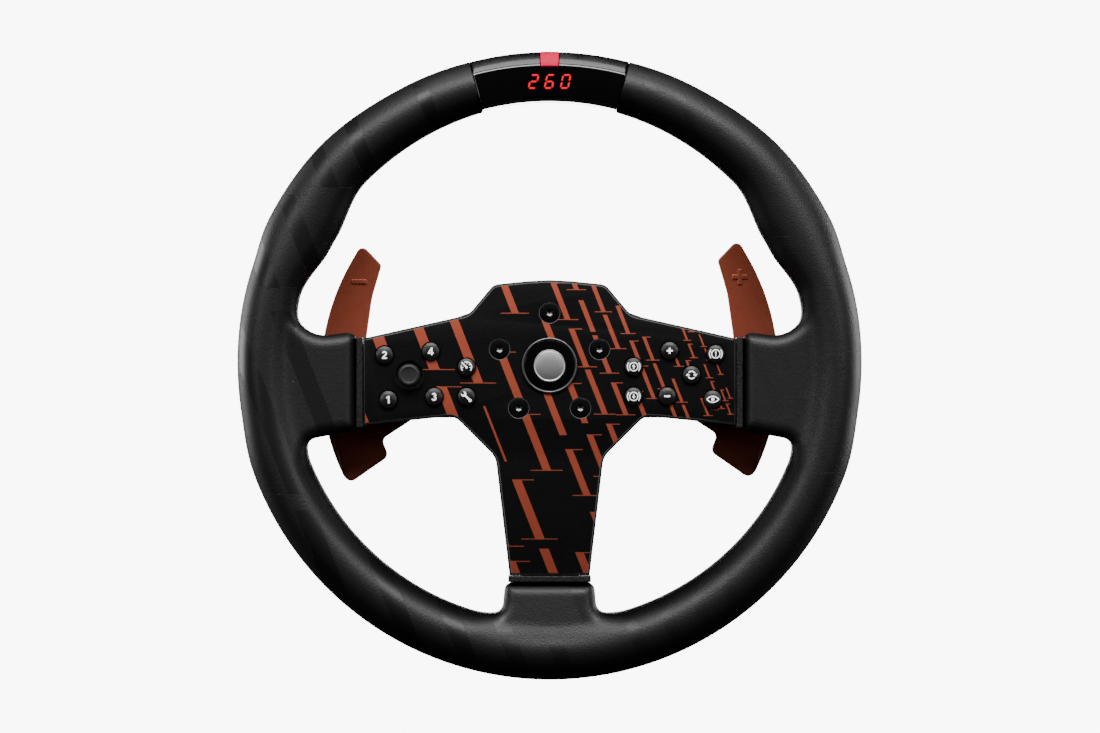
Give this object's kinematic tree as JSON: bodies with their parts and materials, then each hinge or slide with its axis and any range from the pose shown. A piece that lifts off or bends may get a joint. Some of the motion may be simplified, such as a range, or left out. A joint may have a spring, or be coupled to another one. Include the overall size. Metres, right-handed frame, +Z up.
{
  "type": "racing wheel",
  "caption": "Round three-spoke racing wheel for a driving simulator, with a moulded grip, rim display, button panel, thumb joystick, shift paddles and quick release.",
  "frame": {"origin": "on the steering axis, in the rear mating plane of the quick release", "axes": "+Y along the steering axis away from the driver, +Z up and +X right as the driver sees the wheel"},
  "size_m": [0.298, 0.078, 0.2996],
  "materials": {
    "grip": "matte, fine grain",
    "steel": "satin",
    "aluminium": "satin",
    "black_plastic": "fine grain",
    "piano_black": "glossy",
    "panel_black": "satin, printed dashes",
    "button": "satin",
    "rust": "satin paint",
    "black_steel": "black oxide",
    "red_lens": "glossy",
    "board": "solder mask"
  },
  "bodies": {
    "wheel_body": {"rim_grip": "grip", "rim_core_ring": "aluminium", "spoke_frame": "aluminium", "right_sleeve_trim": "black_plastic", "left_sleeve_trim": "black_plastic", "bottom_sleeve_trim": "black_plastic", "display_housing": "black_plastic", "display_cover": "piano_black", "rev_marker_lens": "red_lens", "display_module": "board", "display_cable": "black_plastic", "faceplate": "panel_black", "button_housing": "black_plastic", "hub_spacer": "aluminium", "badge_ring": "steel", "badge_insert": "black_plastic", "face_bolt_1": "black_steel", "face_bolt_2": "black_steel", "face_bolt_3": "black_steel", "face_bolt_4": "black_steel", "face_bolt_5": "black_steel", "left_switch_board": "board", "right_switch_board": "board", "control_board": "board", "joystick_module": "black_plastic", "rear_cover": "black_plastic", "rear_cover_screw_1": "black_steel", "rear_cover_screw_2": "black_steel", "rear_cover_screw_3": "black_steel", "rear_cover_screw_4": "black_steel", "quick_release_hub": "aluminium", "quick_release_connector": "black_plastic", "left_paddle_pin": "steel", "left_paddle_bracket": "black_steel", "left_paddle_magnet": "steel", "left_microswitch": "black_plastic", "right_paddle_pin": "steel", "right_paddle_bracket": "black_steel", "right_paddle_magnet": "steel", "right_microswitch": "black_plastic"},
    "button_1_body": {"button_1": "button"},
    "button_2_body": {"button_2": "button"},
    "button_3_body": {"button_3": "button"},
    "button_4_body": {"button_4": "button"},
    "button_gauge_body": {"button_gauge": "button"},
    "button_wrench_body": {"button_wrench": "button"},
    "button_brake_up_body": {"button_brake_up": "button"},
    "button_brake_down_body": {"button_brake_down": "button"},
    "button_plus_body": {"button_plus": "button"},
    "button_minus_body": {"button_minus": "button"},
    "button_cycle_body": {"button_cycle": "button"},
    "button_alert_body": {"button_alert": "button"},
    "button_eye_body": {"button_eye": "button"},
    "joystick_gimbal_body": {"joystick_gimbal": "steel"},
    "joystick_stem_body": {"joystick_stem": "steel"},
    "joystick_cap_body": {"joystick_cap": "button"},
    "quick_release_collar_body": {"quick_release_collar": "black_steel"},
    "left_paddle_body": {"left_paddle": "rust"},
    "right_paddle_body": {"right_paddle": "rust"}
  },
  "joints": [
    {"name": "button_1_press", "type": "slide", "parent": "wheel_body", "child": "button_1_body", "axis": [0, 1, 0], "range_m": [0, 0.001], "stiffness_N_per_m": 2000, "springref_m": -0.0005},
    {"name": "button_2_press", "type": "slide", "parent": "wheel_body", "child": "button_2_body", "axis": [0, 1, 0], "range_m": [0, 0.001], "stiffness_N_per_m": 2000, "springref_m": -0.0005},
    {"name": "button_3_press", "type": "slide", "parent": "wheel_body", "child": "button_3_body", "axis": [0, 1, 0], "range_m": [0, 0.001], "stiffness_N_per_m": 2000, "springref_m": -0.0005},
    {"name": "button_4_press", "type": "slide", "parent": "wheel_body", "child": "button_4_body", "axis": [0, 1, 0], "range_m": [0, 0.001], "stiffness_N_per_m": 2000, "springref_m": -0.0005},
    {"name": "button_gauge_press", "type": "slide", "parent": "wheel_body", "child": "button_gauge_body", "axis": [0, 1, 0], "range_m": [0, 0.001], "stiffness_N_per_m": 2000, "springref_m": -0.0005},
    {"name": "button_wrench_press", "type": "slide", "parent": "wheel_body", "child": "button_wrench_body", "axis": [0, 1, 0], "range_m": [0, 0.001], "stiffness_N_per_m": 2000, "springref_m": -0.0005},
    {"name": "button_brake_up_press", "type": "slide", "parent": "wheel_body", "child": "button_brake_up_body", "axis": [0, 1, 0], "range_m": [0, 0.001], "stiffness_N_per_m": 2000, "springref_m": -0.0005},
    {"name": "button_brake_down_press", "type": "slide", "parent": "wheel_body", "child": "button_brake_down_body", "axis": [0, 1, 0], "range_m": [0, 0.001], "stiffness_N_per_m": 2000, "springref_m": -0.0005},
    {"name": "button_plus_press", "type": "slide", "parent": "wheel_body", "child": "button_plus_body", "axis": [0, 1, 0], "range_m": [0, 0.001], "stiffness_N_per_m": 2000, "springref_m": -0.0005},
    {"name": "button_minus_press", "type": "slide", "parent": "wheel_body", "child": "button_minus_body", "axis": [0, 1, 0], "range_m": [0, 0.001], "stiffness_N_per_m": 2000, "springref_m": -0.0005},
    {"name": "button_cycle_press", "type": "slide", "parent": "wheel_body", "child": "button_cycle_body", "axis": [0, 1, 0], "range_m": [0, 0.001], "stiffness_N_per_m": 2000, "springref_m": -0.0005},
    {"name": "button_alert_press", "type": "slide", "parent": "wheel_body", "child": "button_alert_body", "axis": [0, 1, 0], "range_m": [0, 0.001], "stiffness_N_per_m": 2000, "springref_m": -0.0005},
    {"name": "button_eye_press", "type": "slide", "parent": "wheel_body", "child": "button_eye_body", "axis": [0, 1, 0], "range_m": [0, 0.001], "stiffness_N_per_m": 2000, "springref_m": -0.0005},
    {"name": "joystick_tilt_up_down", "type": "hinge", "parent": "wheel_body", "child": "joystick_gimbal_body", "pos_m": [-0.0668, -0.0662, -0.0046], "axis": [1, 0, 0], "range_deg": [-8, 8], "stiffness_Nm_per_rad": 0.05},
    {"name": "joystick_tilt_left_right", "type": "hinge", "parent": "joystick_gimbal_body", "child": "joystick_stem_body", "pos_m": [-0.0668, -0.0662, -0.0046], "axis": [0, 0, 1], "range_deg": [-8, 8], "stiffness_Nm_per_rad": 0.05},
    {"name": "joystick_press", "type": "slide", "parent": "joystick_stem_body", "child": "joystick_cap_body", "axis": [0, 1, 0], "range_m": [0, 0.0008], "stiffness_N_per_m": 2000, "springref_m": -0.0005},
    {"name": "left_paddle_pull", "type": "hinge", "parent": "wheel_body", "child": "left_paddle_body", "pos_m": [-0.048, -0.0484, -0.00115], "axis": [0, 0, 1], "range_deg": [0, 4], "stiffness_Nm_per_rad": 1.5, "springref_deg": -5.73},
    {"name": "right_paddle_pull", "type": "hinge", "parent": "wheel_body", "child": "right_paddle_body", "pos_m": [0.048, -0.0484, 0.00115], "axis": [0, 0, -1], "range_deg": [0, 4], "stiffness_Nm_per_rad": 1.5, "springref_deg": -5.73},
    {"name": "quick_release_pull", "type": "slide", "parent": "wheel_body", "child": "quick_release_collar_body", "axis": [0, -1, 0], "range_m": [0, 0.005], "stiffness_N_per_m": 1000, "springref_m": -0.003}
  ]
}
